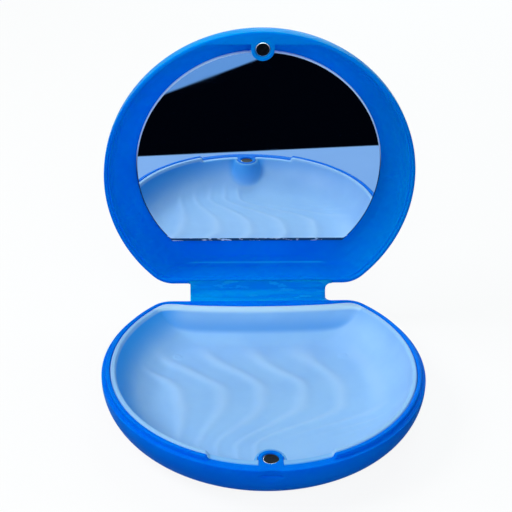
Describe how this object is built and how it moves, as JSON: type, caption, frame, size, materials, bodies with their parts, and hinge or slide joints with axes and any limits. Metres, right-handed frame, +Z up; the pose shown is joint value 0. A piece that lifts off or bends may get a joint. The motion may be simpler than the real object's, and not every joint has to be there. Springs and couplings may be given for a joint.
{
  "type": "retainer_case",
  "caption": "Round flat-backed pocket case for an orthodontic retainer, with a soft rippled liner, a mirror in the hinged lid and a magnetic closure",
  "frame": {"origin": "on the table, under the middle of the round base", "axes": "+Z up, front with the magnets to -Y, hinge along X at the back"},
  "size_m": [0.084, 0.0903, 0.0903],
  "materials": {
    "shell": "satin moulded blue polypropylene",
    "liner": "soft translucent pale blue elastomer with a rippled floor",
    "mirror": "silvered acrylic",
    "tape": "white double-sided foam tape",
    "magnet": "nickel-plated disc"
  },
  "bodies": {
    "base": {"base_shell": "shell", "base_liner": "liner", "base_magnet": "magnet", "strap_base_leaf": "shell"},
    "lid": {"lid_shell": "shell", "mirror": "mirror", "mirror_tape": "tape", "lid_magnet": "magnet", "strap_lid_leaf": "shell"}
  },
  "joints": [
    {"name": "lid_hinge", "type": "hinge", "parent": "base", "child": "lid", "pos_m": [0, 0.0359, 0.0124], "axis": [-1, 0, 0], "range_deg": [-91, 89]}
  ]
}
